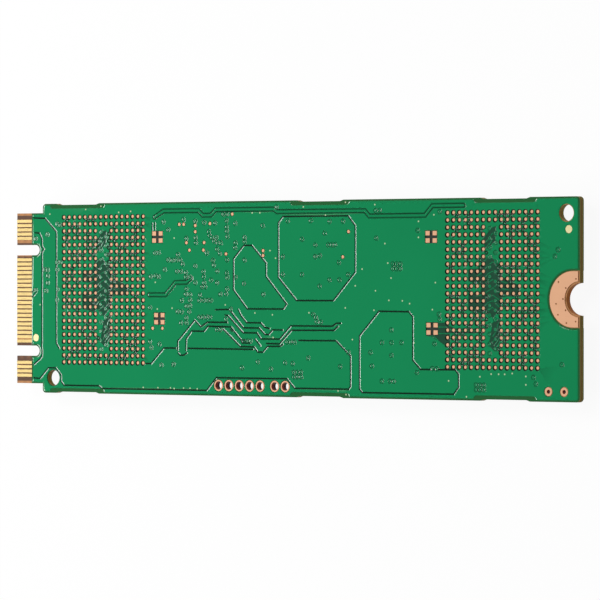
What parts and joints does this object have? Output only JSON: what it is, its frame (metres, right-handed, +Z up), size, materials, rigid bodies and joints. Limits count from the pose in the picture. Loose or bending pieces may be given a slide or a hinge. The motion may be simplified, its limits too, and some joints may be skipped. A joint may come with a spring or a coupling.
{
  "type": "gumstick solid state drive",
  "caption": "Long thin circuit board with a keyed edge connector, a half-round screw notch and flat memory packages on one face; plugs into a socket as storage.",
  "frame": {"origin": "under the middle of the board, on the surface that the module lies on with its bare back face up", "axes": "+X from the card edge along the board towards the screw notch, +Y across the board towards the side with the wider outer contact group, +Z up out of the bare back face"},
  "size_m": [0.08, 0.022, 0.0021],
  "materials": {
    "laminate": "cut glass-epoxy laminate",
    "solder_mask": "semi-gloss green solder mask",
    "gold_contacts": "gold plated contacts",
    "copper_lands": "coated bare copper",
    "solder": "bright tin solder",
    "substrate": "dark green package substrate",
    "mould": "matt black moulding compound",
    "inductor": "pressed iron powder, dark grey",
    "ceramic_tan": "brown ceramic",
    "ceramic_pale": "pale ceramic",
    "resistor": "black glazed ceramic",
    "lid_metal": "welded lid"
  },
  "bodies": {
    "root": {"laminate": "laminate", "solder_mask_back": "solder_mask", "solder_mask_front": "solder_mask", "contact_fingers_back": "gold_contacts", "contact_fingers_front": "gold_contacts", "memory_lands_back_a": "copper_lands", "memory_lands_back_b": "copper_lands", "capacitor_lands_back": "copper_lands", "test_lands_back": "copper_lands", "fiducials_back": "copper_lands", "screw_land_back": "copper_lands", "screw_land_front": "copper_lands", "header_eyelets": "copper_lands", "corner_eyelets": "copper_lands", "package_lands_front": "copper_lands", "chip_lands_front": "copper_lands", "memory_balls_a": "solder", "memory_balls_b": "solder", "controller_balls": "solder", "cache_balls": "solder", "memory_substrate_a": "substrate", "memory_substrate_b": "substrate", "controller_substrate": "substrate", "cache_substrate": "substrate", "memory_mould_a": "mould", "memory_mould_b": "mould", "controller_mould": "mould", "cache_mould": "mould", "power_manager_mould": "mould", "load_switch_body": "mould", "power_manager_terminals": "solder", "inductor_terminals": "solder", "oscillator_terminals": "solder", "load_switch_leads": "solder", "capacitor_terminals": "solder", "bulk_capacitor_terminals": "solder", "resistor_terminals": "solder", "solder_fillets": "solder", "inductor_cores": "inductor", "oscillator_base": "ceramic_pale", "oscillator_lid": "lid_metal", "capacitor_bodies": "ceramic_tan", "bulk_capacitor_bodies": "ceramic_tan", "resistor_bodies": "resistor"}
  },
  "joints": []
}
